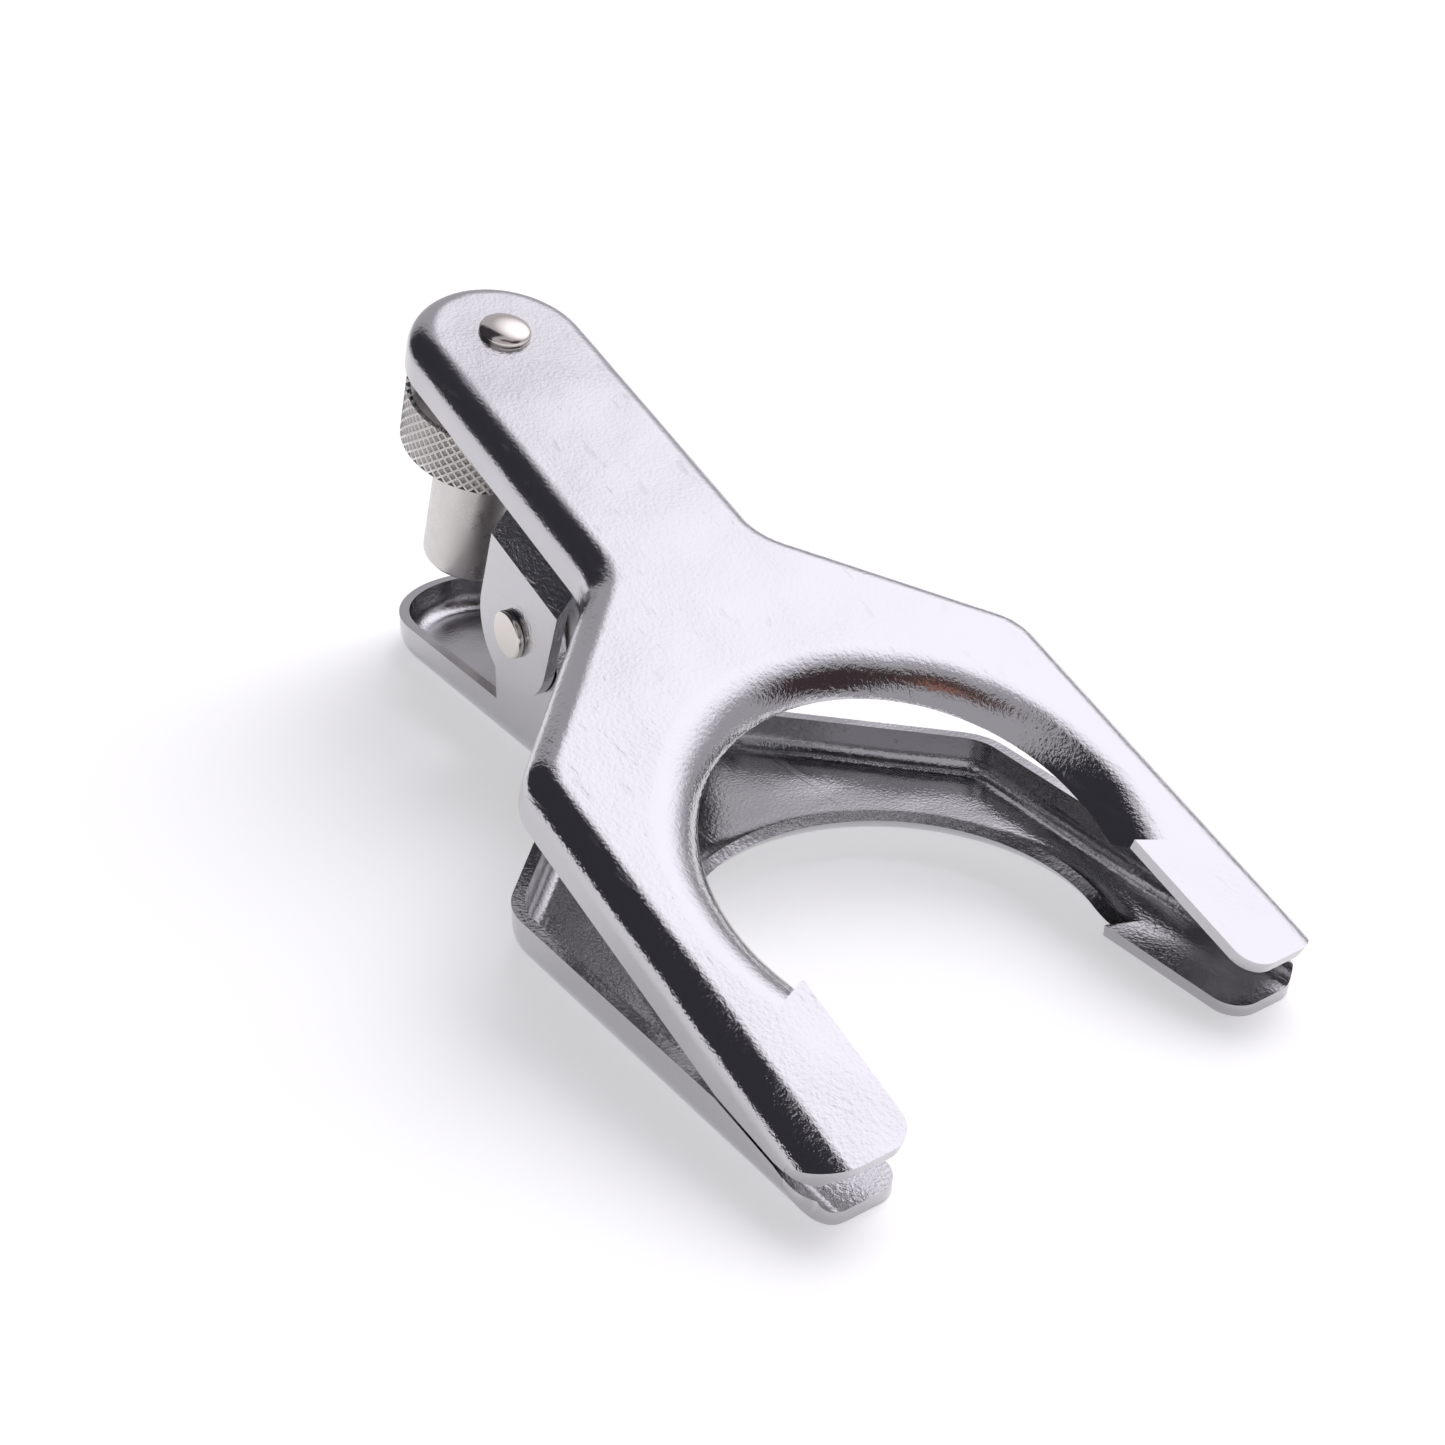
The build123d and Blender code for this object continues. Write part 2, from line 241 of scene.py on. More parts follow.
def weigh_normals(piece):
    """Keeps large faces flat and lets only the small rounded ones turn the light."""
    piece.data.shade_smooth()
    weighted = piece.modifiers.new("weighted", "WEIGHTED_NORMAL")
    weighted.mode = "FACE_AREA_WITH_ANGLE"
    weighted.weight = 60
    return bake_modifiers(piece)


def soften(points, radius, steps=4):
    """The polyline with each inner corner replaced by a small curve."""
    out = [Vector(points[0])]
    for before, corner, after in zip(points, points[1:], points[2:]):
        before, corner, after = Vector(before), Vector(corner), Vector(after)
        shorter = min((before - corner).length, (after - corner).length)
        reach = min(radius, CORNER_SHARE * shorter)
        start = corner + (before - corner).normalized() * reach
        end = corner + (after - corner).normalized() * reach
        for k in range(steps + 1):
            t = k / steps
            out.append(start * (1 - t) ** 2 + corner * 2 * t * (1 - t) + end * t * t)
    out.append(Vector(points[-1]))
    return out


def axis_frame(origin, along):
    """Matrix whose Z runs along the given direction from the origin."""
    turn = Vector(along).normalized().to_track_quat("Z", "Y").to_matrix().to_4x4()
    return Matrix.Translation(origin) @ turn


def skin(name, rings, closed=False, capped=False):
    """A mesh stretched over rings of points, each joined to the next one."""
    mesh = bpy.data.meshes.new(name)
    bm = bmesh.new()
    rows = [[bm.verts.new(spot) for spot in ring] for ring in rings]
    pairs = list(zip(rows, rows[1:])) + ([(rows[-1], rows[0])] if closed else [])
    for low, high in pairs:
        for k in range(len(low)):
            n = (k + 1) % len(low)
            bm.faces.new((low[k], low[n], high[n], high[k]))
    if capped:
        bm.faces.new(rows[0])
        bm.faces.new(rows[-1])
    bmesh.ops.remove_doubles(bm, verts=bm.verts, dist=POLE_DISTANCE)
    bmesh.ops.recalc_face_normals(bm, faces=bm.faces)
    bm.to_mesh(mesh)
    bm.free()
    return link(name, mesh)


def ring_angles(segments):
    return [2 * math.pi * k / segments for k in range(segments)]


def ring_point(radius, angle, height):
    return Vector((radius * math.cos(angle), radius * math.sin(angle), height))


def turned(name, profile, place, segments=96, closed=False):
    """A lathe mesh. The profile is (radius, height), and place maps the lathe's Z to its axis."""
    rings = [[place @ ring_point(radius, angle, height) for angle in ring_angles(segments)]
             for radius, height in profile]
    return skin(name, rings, closed=closed)


def dress(piece, material, slot, body, *nodes):
    """Gives a finished piece its material and body, and hides the nodes it replaces. The slot is
    not used.
    """
    piece.data.materials.clear()
    piece.data.materials.append(material)
    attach(piece, body)
    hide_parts(*nodes)
    return piece


# ---------------------------------------------------------------- materials

def calculate(tree, operation, *values):
    """Output of one math node that takes numbers or other nodes' outputs."""
    node = tree.nodes.new("ShaderNodeMath")
    node.operation = operation
    for socket, value in zip(node.inputs, values):
        if isinstance(value, (int, float)):
            socket.default_value = value
        else:
            tree.links.new(value, socket)
    return node.outputs[0]


class Finish:
    """Small helper that adds and wires the nodes of one metal finish."""

    def __init__(self, name, colour, roughness):
        self.material = bpy.data.materials.new(name)
        self.material.use_nodes = True
        self.tree = self.material.node_tree
        self.shader = self.tree.nodes["Principled BSDF"]
        self.shader.inputs["Metallic"].default_value = 1.0
        self.shader.inputs["Base Color"].default_value = (*colour, 1.0)
        self.shader.inputs["Roughness"].default_value = roughness
        self.coordinates = self.node("ShaderNodeTexCoord").outputs["Object"]
        self.heights = []

    def node(self, kind, **settings):
        node = self.tree.nodes.new(kind)
        for key, value in settings.items():
            setattr(node, key, value)
        return node

    def join(self, source, target):
        self.tree.links.new(source, target)

    def mapped(self, turn=(0, 0, 0), scale=(1, 1, 1)):
        mapping = self.node("ShaderNodeMapping")
        mapping.inputs["Rotation"].default_value = tuple(math.radians(a) for a in turn)
        mapping.inputs["Scale"].default_value = scale
        self.join(self.coordinates, mapping.inputs["Vector"])
        return mapping.outputs["Vector"]

    def noise(self, scale, detail=2.0, turn=(0, 0, 0), stretch=(1, 1, 1), rough=0.5):
        texture = self.node("ShaderNodeTexNoise")
        texture.inputs["Scale"].default_value = scale
        texture.inputs["Detail"].default_value = detail
        texture.inputs["Roughness"].default_value = rough
        self.join(self.mapped(turn, stretch), texture.inputs["Vector"])
        return texture.outputs["Fac"]

    def ranged(self, value, low, high, out_low=0.0, out_high=1.0):
        ranged = self.node("ShaderNodeMapRange", interpolation_type="SMOOTHSTEP")
        self.join(value, ranged.inputs["Value"])
        for key, number in zip(("From Min", "From Max", "To Min", "To Max"),
                               (low, high, out_low, out_high)):
            ranged.inputs[key].default_value = number
        return ranged.outputs["Result"]

    def calculate(self, operation, *values):
        return calculate(self.tree, operation, *values)

    def scratches(self, scale, turn, low=0.66, high=0.72):
        """Fine straight marks that all run one way."""
        return self.ranged(self.noise(scale, 2.0, turn, (0.02, 1.0, 1.0)), low, high)

    def emboss(self, height, depth):
        """Adds one layer of relief, its depth in metres."""
        bump = self.node("ShaderNodeBump")
        bump.inputs["Strength"].default_value = 1.0
        bump.inputs["Distance"].default_value = depth
        self.join(height, bump.inputs["Height"])
        if self.heights:
            self.join(self.heights[-1], bump.inputs["Normal"])
        self.heights.append(bump.outputs["Normal"])
        self.join(bump.outputs["Normal"], self.shader.inputs["Normal"])

    def roughness(self, value):
        self.join(value, self.shader.inputs["Roughness"])


def pressed_sheet_finish(name, colour):
    """Bright stainless sheet: mirror-like on the fork, duller and scuffed on the handles."""
    finish = Finish(name, colour, 0.16)
    split = finish.node("ShaderNodeSeparateXYZ")
    finish.join(finish.coordinates, split.inputs[0])
    worn = finish.ranged(split.outputs["X"], 0.0, 0.030, 1.0, 0.0)
    cloud = finish.noise(170, 3.0)
    scuffs = finish.calculate(
        "MAXIMUM",
        finish.scratches(900, (0, 0, 32)),
        finish.scratches(760, (0, 0, -51), 0.68, 0.74),
    )
    base = finish.calculate("MULTIPLY_ADD", cloud, 0.08, 0.06)
    dull = finish.calculate("MULTIPLY_ADD", worn, 0.09, base)
    finish.roughness(finish.calculate("MULTIPLY_ADD", scuffs, 0.10, dull))
    finish.emboss(finish.noise(70, 1.0), 0.00075)
    finish.emboss(finish.noise(330, 1.0), 0.00005)
    finish.emboss(finish.noise(3000, 2.0, rough=0.6), 0.000034)
    finish.emboss(scuffs, -0.000008)
    return finish.material


def bright_finish(name, colour):
    """Polished pin and rivet heads with faint clouds and a few marks."""
    finish = Finish(name, colour, 0.12)
    finish.roughness(finish.ranged(finish.noise(700, 3.0), 0.3, 0.7, 0.09, 0.20))
    finish.emboss(finish.noise(900, 2.0), 0.000004)
    finish.emboss(finish.scratches(2500, (0, 0, 20)), -0.000001)
    return finish.material


def wire_finish(name, colour):
    """Drawn wire, bright with fine lines."""
    finish = Finish(name, colour, 0.2)
    finish.roughness(finish.ranged(finish.noise(900, 3.0), 0.3, 0.7, 0.12, 0.26))
    finish.emboss(finish.noise(3800, 2.0, stretch=(1.0, 0.1, 1.0)), 0.000003)
    return finish.material


def plated_finish(name, colour):
    """Satin nickel plate with soft clouds and specks."""
    finish = Finish(name, colour, 0.3)
    finish.roughness(finish.ranged(finish.noise(450, 4.0, rough=0.65), 0.3, 0.7, 0.24, 0.38))
    finish.emboss(finish.noise(3200, 2.0, rough=0.5), 0.000008)
    finish.emboss(finish.noise(260, 1.0), 0.00001)
    return finish.material


FINISHES = {
    "jaw_steel": ("pressed_sheet", pressed_sheet_finish),
    "pin_steel": ("bright_heads", bright_finish),
    "spring_wire": ("spring_wire", wire_finish),
    "nut_metal": ("nut_plate", plated_finish),
}


def metal(key):
    """The material of one finish, made when it is first asked for."""
    name, maker = FINISHES[key]
    colour = tuple(getattr(bpy.context.scene.clamp_finish, key))
    return bpy.data.materials.get(name) or maker(name, colour)


# ---------------------------------------------------------------- geometry node trees

def new_tree(name, inputs):
    """A node tree with a geometry input and output and the named size inputs."""
    tree = bpy.data.node_groups.new(name, "GeometryNodeTree")
    tree.interface.new_socket("Geometry", in_out="INPUT", socket_type="NodeSocketGeometry")
    for label, kind in inputs:
        tree.interface.new_socket(label, in_out="INPUT", socket_type=kind)
    tree.interface.new_socket("Geometry", in_out="OUTPUT", socket_type="NodeSocketGeometry")
    source = tree.nodes.new("NodeGroupInput")
    target = tree.nodes.new("NodeGroupOutput")
    return tree, source, target


def finish_tree(tree, target, geometry, material):
    """Ends a tree in Realize Instances and Set Material."""
    realize = tree.nodes.new("GeometryNodeRealizeInstances")
    paint = tree.nodes.new("GeometryNodeSetMaterial")
    paint.inputs["Material"].default_value = material
    tree.links.new(geometry, realize.inputs["Geometry"])
    tree.links.new(realize.outputs["Geometry"], paint.inputs["Geometry"])
    tree.links.new(paint.outputs["Geometry"], target.inputs["Geometry"])


def plant(piece, tree, values):
    """Puts the tree on the piece with the given input values."""
    modifier = piece.modifiers.new(tree.name, "NODES")
    modifier.node_group = tree
    sockets = {item.name: item.identifier for item in tree.interface.items_tree
               if item.in_out == "INPUT"}
    for label, value in values.items():
        modifier[sockets[label]] = value


def wire_tree(material):
    """A round wire along a curve, with closed ends."""
    tree, source, target = new_tree("wire along a path", [("Radius", "NodeSocketFloat")])
    circle = tree.nodes.new("GeometryNodeCurvePrimitiveCircle")
    circle.inputs["Resolution"].default_value = 24
    sweep = tree.nodes.new("GeometryNodeCurveToMesh")
    sweep.inputs["Fill Caps"].default_value = True
    smooth = tree.nodes.new("GeometryNodeSetShadeSmooth")
    tree.links.new(source.outputs["Radius"], circle.inputs["Radius"])
    tree.links.new(source.outputs["Geometry"], sweep.inputs["Curve"])
    tree.links.new(circle.outputs["Curve"], sweep.inputs["Profile Curve"])
    tree.links.new(sweep.outputs["Mesh"], smooth.inputs["Geometry"])
    finish_tree(tree, target, smooth.outputs["Geometry"], material)
    return tree


def knurl_tree(material, cell):
    """Sunk diamonds in staggered rows round a cylinder, cut off flush at its two ends."""
    tree, source, target = new_tree("diamond knurl", [
        ("Radius", "NodeSocketFloat"),
        ("Height", "NodeSocketFloat"),
        ("Around", "NodeSocketInt"),
        ("Rows", "NodeSocketInt"),
        ("Depth", "NodeSocketFloat"),
    ])
    links = tree.links
    sums = functools.partial(calculate, tree)

    around, rows = source.outputs["Around"], source.outputs["Rows"]
    radius, height = source.outputs["Radius"], source.outputs["Height"]
    levels = sums("ADD", sums("MULTIPLY", rows, 2), 1)
    line = tree.nodes.new("GeometryNodeMeshLine")
    links.new(sums("MULTIPLY", around, levels), line.inputs["Count"])

    index = tree.nodes.new("GeometryNodeInputIndex").outputs[0]
    level = sums("FLOOR", sums("DIVIDE", index, around))
    column = sums("MODULO", index, around)
    shift = sums("MULTIPLY", sums("MODULO", level, 2), 0.5)
    turn = sums("DIVIDE", sums("ADD", column, shift), around)
    angle = sums("MULTIPLY", turn, 2 * math.pi)
    half_row = sums("DIVIDE", height, sums("MULTIPLY", rows, 2))
    drop = sums("MULTIPLY", level, half_row)

    centre = tree.nodes.new("ShaderNodeCombineXYZ")
    links.new(sums("MULTIPLY", radius, sums("COSINE", angle)), centre.inputs[0])
    links.new(sums("MULTIPLY", radius, sums("SINE", angle)), centre.inputs[1])
    links.new(drop, centre.inputs[2])
    place = tree.nodes.new("GeometryNodeSetPosition")
    links.new(line.outputs["Mesh"], place.inputs["Geometry"])
    links.new(centre.outputs[0], place.inputs["Position"])

    facing = tree.nodes.new("ShaderNodeCombineXYZ")
    links.new(angle, facing.inputs[2])
    size = tree.nodes.new("ShaderNodeCombineXYZ")
    half_width = sums("DIVIDE", sums("MULTIPLY", radius, math.pi), around)
    links.new(source.outputs["Depth"], size.inputs[0])
    links.new(half_width, size.inputs[1])
    links.new(half_row, size.inputs[2])
    scatter = tree.nodes.new("GeometryNodeInstanceOnPoints")
    diamond = tree.nodes.new("GeometryNodeObjectInfo")
    diamond.inputs["Object"].default_value = cell
    links.new(place.outputs["Geometry"], scatter.inputs["Points"])
    links.new(diamond.outputs["Geometry"], scatter.inputs["Instance"])
    links.new(facing.outputs[0], scatter.inputs["Rotation"])
    links.new(size.outputs[0], scatter.inputs["Scale"])

    realize = tree.nodes.new("GeometryNodeRealizeInstances")
    links.new(scatter.outputs["Instances"], realize.inputs["Geometry"])
    position = tree.nodes.new("GeometryNodeInputPosition")
    split = tree.nodes.new("ShaderNodeSeparateXYZ")
    links.new(position.outputs[0], split.inputs[0])
    flush = sums("MINIMUM", sums("MAXIMUM", split.outputs[2], 0.0), height)
    kept = tree.nodes.new("ShaderNodeCombineXYZ")
    links.new(split.outputs[0], kept.inputs[0])
    links.new(split.outputs[1], kept.inputs[1])
    links.new(flush, kept.inputs[2])
    trim = tree.nodes.new("GeometryNodeSetPosition")
    links.new(realize.outputs["Geometry"], trim.inputs["Geometry"])
    links.new(kept.outputs[0], trim.inputs["Position"])

    join = tree.nodes.new("GeometryNodeJoinGeometry")
    links.new(trim.outputs["Geometry"], join.inputs[0])
    links.new(source.outputs["Geometry"], join.inputs[0])
    finish_tree(tree, target, join.outputs[0], material)
    return tree


# ---------------------------------------------------------------- pieces

def pressed_jaw(name, node):
    """The jaw's sheet with its cut edges rounded."""
    sizes = bpy.context.scene.clamp_sheet
    mesh = frame["nodes"][node].data.copy()
    bm = bmesh.new()
    bm.from_mesh(mesh)
    bmesh.ops.remove_doubles(bm, verts=bm.verts, dist=MERGE_DISTANCE)
    bmesh.ops.dissolve_limit(bm, angle_limit=FLAT_ANGLE, verts=bm.verts, edges=bm.edges)
    bm.to_mesh(mesh)
    bm.free()
    piece = link(name, mesh)
    edges = piece.modifiers.new("cut edges", "BEVEL")
    edges.limit_method = "ANGLE"
    edges.angle_limit = sizes.edge_angle
    edges.width = sizes.edge_round
    edges.segments = 3
    bake_modifiers(piece)
    return weigh_normals(piece)


class CLAMP_OT_jaws(bpy.types.Operator):
    """Make the two pressed fork jaws"""
    bl_idname = "clamp.jaws"
    bl_label = "Fork Jaws"

    def execute(self, context):
        for name, node, body in (
            ("lower_fork", "lower_jaw", "lower"),
            ("upper_fork", "upper_jaw", "upper"),
        ):
            dress(pressed_jaw(name, node), metal("jaw_steel"), "jaw_steel", body, node)
        return {"FINISHED"}


class CLAMP_OT_pin(bpy.types.Operator):
    """Make the pivot pin with its two flat heads"""
    bl_idname = "clamp.pin"
    bl_label = "Pivot Pin"

    def execute(self, context):
        sizes = context.scene.clamp_pin
        low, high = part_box("pivot_pin")
        half_length = (high.y - low.y) / 2
        head = (high.x - low.x) / 2
        shank, neck = sizes.shank_radius, half_length - sizes.head_height
        profile = [
            (0, -half_length),
            (head, -half_length),
            (head, -neck),
            (shank, -neck),
            (shank, neck),
            (head, neck),
            (head, half_length),
            (0, half_length),
        ]
        place = axis_frame(PIN_CENTRE, (0, 1, 0))
        pin = turned("pivot_pin_headed", soften(profile, sizes.head_round, 5), place)
        dress(weigh_normals(pin), metal("pin_steel"), "pin_steel", "upper", "pivot_pin")
        return {"FINISHED"}


def spring_path(sizes):
    """Foot, leg, coil, leg and foot of the closing spring, as points."""
    coil_radius = (sizes.coil_bore + sizes.wire) / 2
    upper_turn = 2 * math.atan2(STUD_UP.x, 1 + STUD_UP.z)
    upper_face = Matrix.Rotation(upper_turn, 3, "Y")
    upper_origin = PIN_CENTRE + STUD_UP * PIN_CENTRE.z
    lower_foot = Vector((-sizes.leg_reach, 0, sizes.foot_height))
    upper_foot = upper_origin + upper_face @ Vector((-sizes.leg_reach, 0, -sizes.foot_height))

    def leave_angle(foot, side):
        arm = foot - PIN_CENTRE
        return math.atan2(arm.z, arm.x) + side * math.acos(coil_radius / math.hypot(arm.x, arm.z))

    first, last = leave_angle(lower_foot, 1), leave_angle(upper_foot, -1)
    wound = 2 * math.pi * sizes.turns + (last - first) % (2 * math.pi)
    length = wound / (2 * math.pi) * sizes.pitch
    count = int(wound / COIL_STEP)
    coil = []
    for k in range(count + 1):
        t = k / count
        angle = first + wound * t
        coil.append(PIN_CENTRE + Vector((
            coil_radius * math.cos(angle), length * (t - 0.5), coil_radius * math.sin(angle),
        )))

    def leg(start, foot, side):
        heel = Vector((foot.x, start.y, foot.z))
        toe = heel + Vector((0, side * sizes.foot_length, 0))
        return soften([start, heel, toe], sizes.heel_round, 8)[1:]

    return leg(coil[0], lower_foot, 1)[::-1] + coil + leg(coil[-1], upper_foot, -1)


class CLAMP_OT_spring(bpy.types.Operator):
    """Make the closing spring that is wound round the pin"""
    bl_idname = "clamp.spring"
    bl_label = "Closing Spring"

    def execute(self, context):
        sizes = context.scene.clamp_spring
        path = spring_path(sizes)
        curve = bpy.data.curves.new("closing_spring_wound", "CURVE")
        curve.dimensions = "3D"
        spline = curve.splines.new("POLY")
        spline.points.add(len(path) - 1)
        for point, place in zip(spline.points, path):
            point.co = (*place, 1.0)
        guide = link("closing_spring_path", curve)
        plant(guide, wire_tree(metal("spring_wire")), {"Radius": sizes.wire / 2})
        spring = link("closing_spring_wound", evaluated_mesh(guide))
        bpy.data.objects.remove(guide)
        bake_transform(spring)
        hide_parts("closing_spring")
        return {"FINISHED"}


class CLAMP_OT_stud(bpy.types.Operator):
    """Make the threaded stud with its collar and its domed rivet head"""
    bl_idname = "clamp.stud"
    bl_label = "Locking Stud"

    def execute(self, context):
        sizes = context.scene.clamp_thread
        place = axis_frame(STUD_FOOT, -STUD_UP)
        radius, side = sizes.rivet_radius, sizes.rivet_side
        rise = sizes.rivet_height - side
        dome = [(radius * math.cos(angle), -side - rise * math.sin(angle))
                for angle in DOME_ANGLES]
        rim = [(0, sizes.seat_depth), (radius, sizes.seat_depth), (radius, -side)]
        head = turned("rivet_head", rim + dome + [(0, -sizes.rivet_height)], place)
        dress(weigh_normals(head), metal("pin_steel"), "stud_steel", "upper")

        root = sizes.core_radius - sizes.depth
        collar, neck = sizes.collar_radius, sizes.sheet + sizes.collar_height
        profile = soften([
            (0, sizes.sheet), (collar, sizes.sheet), (collar, neck),
            (root, neck), (root, neck + sizes.pitch),
        ], sizes.collar_round)
        shoulder = turned("stud_collar", profile, place)
        dress(weigh_normals(shoulder), metal("pin_steel"), "stud_steel", "upper")

        depth_end = stud_depth("lock_stud")[1]
        thread = threaded_rod("stud_thread", place, neck + sizes.thread_overlap, depth_end, sizes)
        dress(thread, metal("pin_steel"), "stud_steel", "upper", "lock_stud")
        return {"FINISHED"}


def threaded_rod(name, place, start, end, sizes, segments=48):
    """A rod whose surface winds in and out as a V thread does, with a chamfered end."""
    steps = int((end - start) / (sizes.pitch / 8))
    radius = sizes.core_radius

    def ring(depth):
        limit = radius - max(0.0, depth - (end - sizes.end_chamfer))
        for angle in ring_angles(segments):
            phase = (depth / sizes.pitch + angle / (2 * math.pi)) % 1.0
            flank = min(1.0, sizes.flank * abs(2 * phase - 1))
            yield place @ ring_point(min(radius - sizes.depth * (1 - flank), limit), angle, depth)

    rings = [list(ring(start + (end - start) * row / steps)) for row in range(steps + 1)]
    rod = skin(name, rings, capped=True)
    rod.data.shade_smooth()
    return rod


class CLAMP_OT_nut_sleeve(bpy.types.Operator):
    """Make the nut's long smooth sleeve"""
    bl_idname = "clamp.nut_sleeve"
    bl_label = "Nut Sleeve"

    def execute(self, context):
        sizes = context.scene.clamp_knurl
        top, bottom = stud_depth("nut_sleeve")
        head_bottom = stud_depth("nut_head")[1] + sizes.head_gap
        outer = stud_radius("nut_sleeve")
        thread, chamfer = sizes.thread_radius, sizes.thread_chamfer
        profile = [
            (thread, top + chamfer),
            (thread + chamfer, top),
            (sizes.spigot_radius, top),
            (sizes.spigot_radius, head_bottom),
            (outer, head_bottom),
            (outer, bottom - sizes.foot_rise),
            (outer - sizes.foot_slope, bottom),
            (sizes.bore_radius, bottom),
            (sizes.bore_radius, head_bottom),
            (thread, head_bottom - chamfer),
        ]
        place = axis_frame(STUD_FOOT, -STUD_UP)
        ring = soften(profile + profile[:1], sizes.edge_round)
        sleeve = turned("nut_sleeve_turned", ring[:-1], place, closed=True)
        dress(weigh_normals(sleeve), metal("nut_metal"), "nut_metal", "nut_slider", "nut_sleeve")
        return {"FINISHED"}


def knurl_diamond(land, pit_floor):
    """One diamond of the knurl: a flat rim on the outer surface round a pointed pit."""
    mesh = bpy.data.meshes.new("knurl_diamond")
    corners = [(1, 1, 0), (1, 0, 1), (1, -1, 0), (1, 0, -1)]
    rim = [(1, y * (1 - land), z * (1 - land)) for _, y, z in corners]
    faces = [(k, (k + 1) % 4, 4 + (k + 1) % 4, 4 + k) for k in range(4)]
    faces += [(4 + k, 4 + (k + 1) % 4, 8) for k in range(4)]
    mesh.from_pydata(corners + rim + [(pit_floor, 0, 0)], [], faces)
    return link("knurl_diamond", mesh)


class CLAMP_OT_nut_head(bpy.types.Operator):
    """Make the nut's knurled head"""
    bl_idname = "clamp.nut_head"
    bl_label = "Nut Head"

    def execute(self, context):
        sizes = context.scene.clamp_knurl
        top, bottom = stud_depth("nut_head")
        outer = stud_radius("nut_head")
        core, bore = outer - sizes.depth, sizes.head_bore
        height = bottom - top
        profile = [(bore, 0), (core, 0), (core, height), (bore, height)]
        head = turned("nut_head_knurled", profile, Matrix.Identity(4),
                      segments=2 * sizes.around, closed=True)
        diamond = knurl_diamond(sizes.land, sizes.pit_floor)
        plant(head, knurl_tree(metal("nut_metal"), diamond), {
            "Radius": core, "Height": height, "Around": sizes.around, "Rows": sizes.rows,
            "Depth": sizes.depth,
        })
        bake_modifiers(head)
        bpy.data.objects.remove(diamond)
        head.data.transform(axis_frame(STUD_FOOT - STUD_UP * top, -STUD_UP))
        dress(head, metal("nut_metal"), "nut_metal", "nut_knob", "nut_head")
        return {"FINISHED"}


# ---------------------------------------------------------------- stage

HORIZON_FADE = -0.06         # how far below the horizon the dark screens fade out


def sky_reach(tree, towards):
    """How far the direction in which the sky is looked at points towards another one."""
    compass = tree.nodes.new("ShaderNodeTexCoord").outputs["Generated"]
    dot = tree.nodes.new("ShaderNodeVectorMath")
    dot.operation = "DOT_PRODUCT"
    dot.inputs[1].default_value = towards
    tree.links.new(compass, dot.inputs[0])
    return dot.outputs["Value"]


def sky_fade(tree, value, low, high):
    """Zero below low, one above high, soft between."""
    fade = tree.nodes.new("ShaderNodeMapRange")
    fade.interpolation_type = "SMOOTHSTEP"
    if low > high:
        low, high = high, low
        fade.inputs["To Min"].default_value = 1.0
        fade.inputs["To Max"].default_value = 0.0
    fade.inputs["From Min"].default_value = low
    fade.inputs["From Max"].default_value = high
    tree.links.new(value, fade.inputs["Value"])
    return fade.outputs["Result"]


def sky_cone(tree, direction, inner, outer):
    """One inside the cone round a direction, fading to nothing between the two half angles."""
    cosines = [math.cos(math.radians(angle)) for angle in (outer, inner)]
    return sky_fade(tree, sky_reach(tree, Vector(direction).normalized()), *cosines)


def sky_wedge(tree, borders, soft):
    """One in the part of the sky, down to the horizon, that lies inside every upright border."""
    product = sky_fade(tree, sky_reach(tree, (0.0, 0.0, 1.0)), HORIZON_FADE, 0.0)
    for towards, reach in borders:
        side = sky_fade(tree, sky_reach(tree, towards), reach - soft, reach + soft)
        product = calculate(tree, "MULTIPLY", product, side)
    return product


def studio_light(scene):
    """A soft white room with a large lamp overhead and dark screens round the camera."""
    world = bpy.data.worlds.new("studio")
    world.use_nodes = True
    scene.world = world
    tree = world.node_tree
    background = tree.nodes["Background"]
    lamp = sky_cone(tree, (-0.12, 0.68, 0.72), 4, 38)
    front_screen = sky_cone(tree, (0.80, 0.32, 0.50), 17, 24)
    side_screen = sky_wedge(tree, [((0.3, -1.0, 0.0), -0.14), ((-1.0, -0.1, 0.0), -0.10)], 0.04)
    brown_rim = sky_cone(tree, (0.60, -0.10, 0.79), 10, 20)
    brown_core = sky_cone(tree, (0.66, -0.16, 0.72), 4, 9)
    seen_wall = tree.nodes.new("ShaderNodeLightPath").outputs["Is Camera Ray"]
    patches = [
        (lamp, (1.76, 1.71, 1.84)),
        (front_screen, (0.07, 0.05, 0.055)),
        (side_screen, (0.05, 0.048, 0.06)),
        (brown_rim, (0.10, 0.065, 0.06)),
        (brown_core, (0.42, 0.20, 0.16)),
        (seen_wall, (0.93, 0.93, 0.94)),
    ]
    colour = tree.nodes.new("ShaderNodeRGB")
    colour.outputs[0].default_value = (0.55, 0.535, 0.57, 1.0)
    current = colour.outputs[0]
    for patch, shade in patches:
        mix = tree.nodes.new("ShaderNodeMix")
        mix.data_type = "RGBA"
        mix.inputs[7].default_value = (*shade, 1.0)
        tree.links.new(patch, mix.inputs[0])
        tree.links.new(current, mix.inputs[6])
        current = mix.outputs[2]
    tree.links.new(current, background.inputs["Color"])
    background.inputs["Strength"].default_value = 1.0


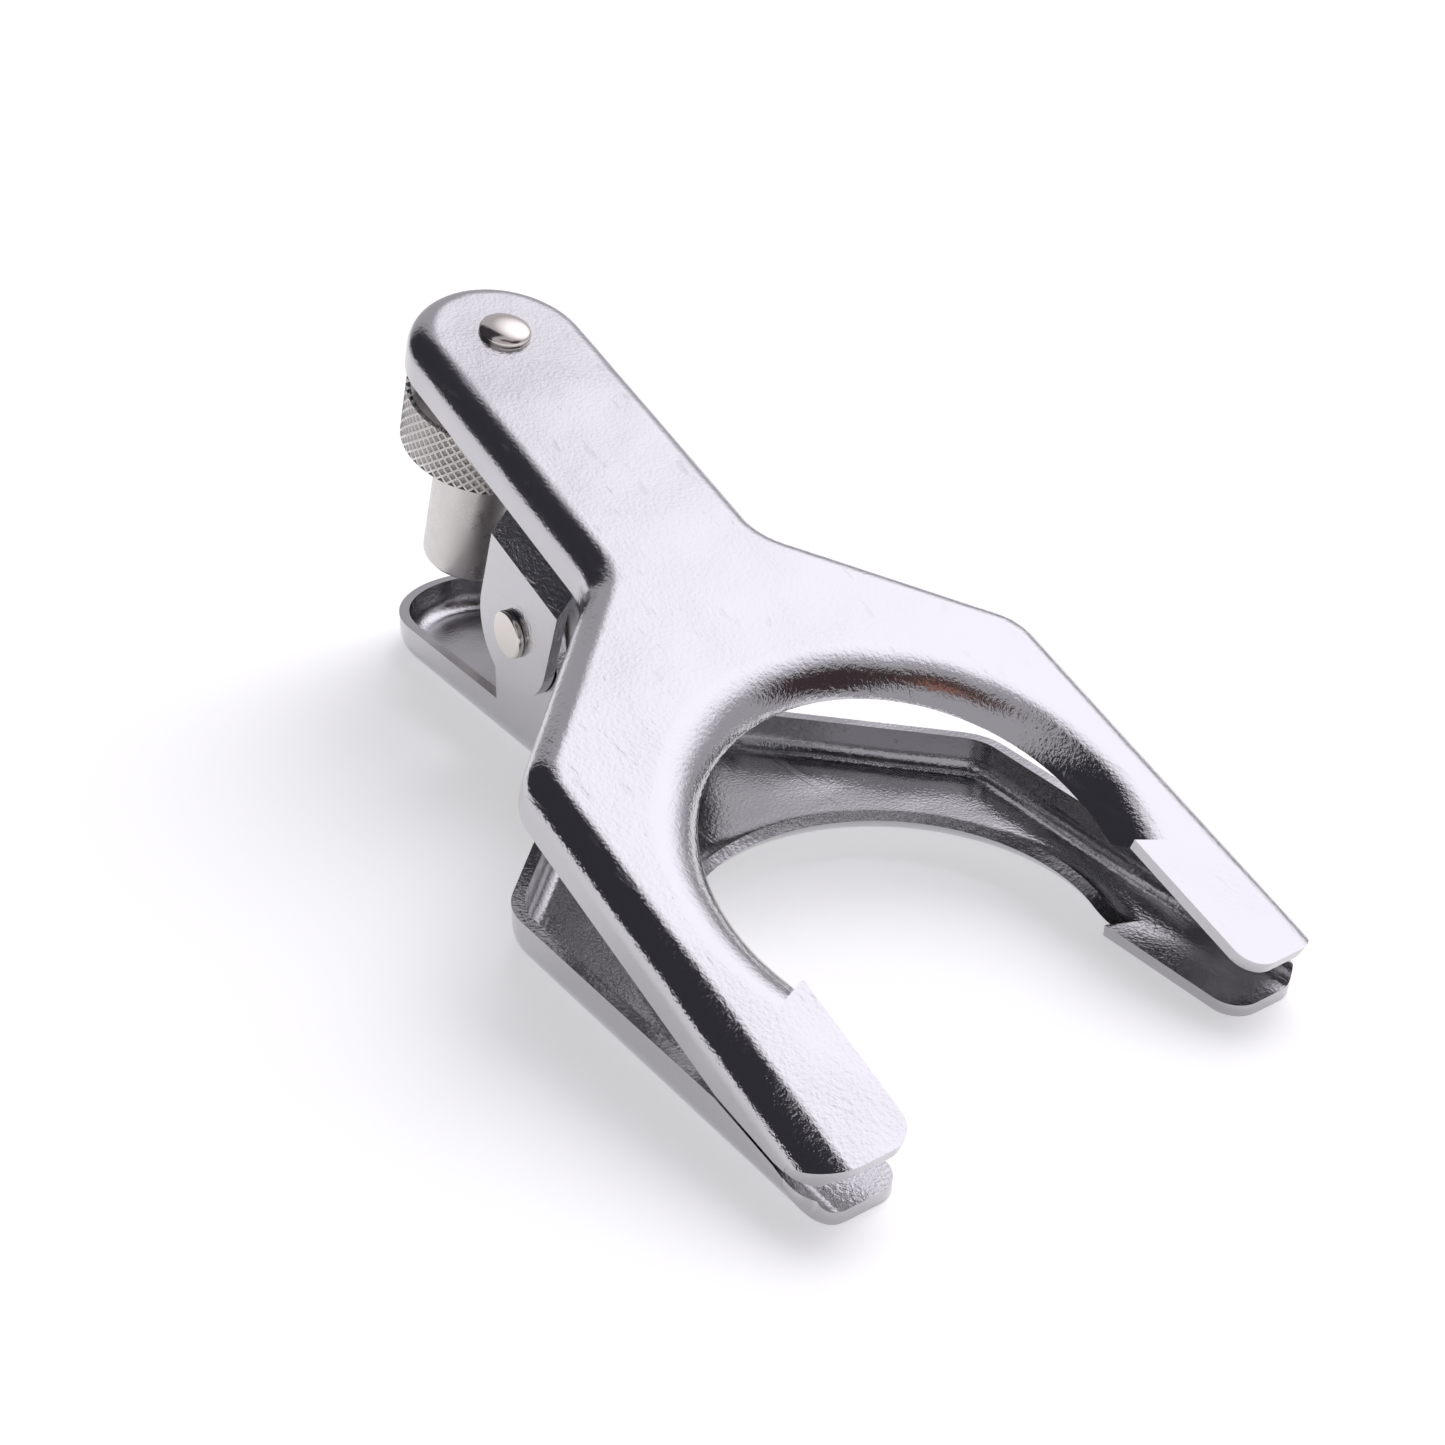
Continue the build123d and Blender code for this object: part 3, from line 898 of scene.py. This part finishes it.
class CLAMP_OT_stage(bpy.types.Operator):
    """Make the floor, the light and the camera"""
    bl_idname = "clamp.stage"
    bl_label = "Stage"

    def execute(self, context):
        scene = context.scene
        sizes = scene.clamp_stage
        half = sizes.floor_size / 2
        mesh = bpy.data.meshes.new("floor")
        mesh.from_pydata([(-half, -half, 0), (half, -half, 0), (half, half, 0), (-half, half, 0)],
                         [], [(0, 1, 2, 3)])
        floor = link("floor", mesh)
        floor.location.z = -sizes.floor_drop
        paint = bpy.data.materials.new("floor_paint")
        paint.use_nodes = True
        shader = paint.node_tree.nodes["Principled BSDF"]
        shader.inputs["Base Color"].default_value = (*sizes.floor_colour, 1.0)
        shader.inputs["Roughness"].default_value = 0.9
        shader.inputs["Specular IOR Level"].default_value = 0.0
        shader.inputs["Emission Color"].default_value = (*sizes.floor_colour, 1.0)
        shader.inputs["Emission Strength"].default_value = sizes.floor_glow
        floor.data.materials.append(paint)
        studio_light(scene)
        lamp = bpy.data.objects.new("soft_box", bpy.data.lights.new("soft_box", "AREA"))
        scene.collection.objects.link(lamp)
        lamp.location = sizes.lamp_place
        lamp.rotation_euler = (-lamp.location).to_track_quat("-Z", "Y").to_euler()
        lamp.data.size = sizes.lamp_size
        lamp.data.energy = sizes.lamp_power
        lamp.visible_glossy = False
        scene.view_settings.view_transform = "Standard"

        camera = bpy.data.objects.new("camera", bpy.data.cameras.new("camera"))
        scene.collection.objects.link(camera)
        camera.location = sizes.camera_place
        camera.rotation_euler = sizes.camera_turn
        camera.data.sensor_width = 36.0
        camera.data.lens = sizes.lens
        camera.data.clip_start = 0.005
        scene.camera = camera
        return {"FINISHED"}


# ---------------------------------------------------------------- panel and registration

class CLAMP_PT_sidebar(bpy.types.Panel):
    """Lists the clamp's pieces and their sizes"""
    bl_idname = "CLAMP_PT_sidebar"
    bl_label = "Spherical Joint Clamp"
    bl_space_type = "VIEW_3D"
    bl_region_type = "UI"
    bl_category = "Clamp"

    def draw(self, context):
        for group in GROUPS:
            sizes = getattr(context.scene, group)
            column = self.layout.column(align=True)
            for key in sizes.bl_rna.properties.keys():
                if key not in ("rna_type", "name"):
                    column.prop(sizes, key)
        for operator in OPERATORS:
            self.layout.operator(operator.bl_idname)


GROUPS = {
    "clamp_sheet": ClampSheetSettings,
    "clamp_pin": ClampPinSettings,
    "clamp_spring": ClampSpringSettings,
    "clamp_thread": ClampThreadSettings,
    "clamp_knurl": ClampKnurlSettings,
    "clamp_finish": ClampFinishSettings,
    "clamp_stage": ClampStageSettings,
}
OPERATORS = (
    CLAMP_OT_stage,
    CLAMP_OT_jaws,
    CLAMP_OT_pin,
    CLAMP_OT_spring,
    CLAMP_OT_stud,
    CLAMP_OT_nut_sleeve,
    CLAMP_OT_nut_head,
)


def register():
    for group, settings in GROUPS.items():
        bpy.utils.register_class(settings)
        setattr(bpy.types.Scene, group, bpy.props.PointerProperty(type=settings))
    for operator in OPERATORS:
        bpy.utils.register_class(operator)
    bpy.utils.register_class(CLAMP_PT_sidebar)


def unregister():
    bpy.utils.unregister_class(CLAMP_PT_sidebar)
    for operator in reversed(OPERATORS):
        bpy.utils.unregister_class(operator)
    for group, settings in GROUPS.items():
        delattr(bpy.types.Scene, group)
        bpy.utils.unregister_class(settings)


def main():
    register()
    bpy.ops.clamp.stage()
    bpy.ops.clamp.jaws()
    bpy.ops.clamp.pin()
    bpy.ops.clamp.spring()
    bpy.ops.clamp.stud()
    bpy.ops.clamp.nut_sleeve()
    bpy.ops.clamp.nut_head()
    bpy.context.view_layer.update()


if __name__ == "__main__":
    main()
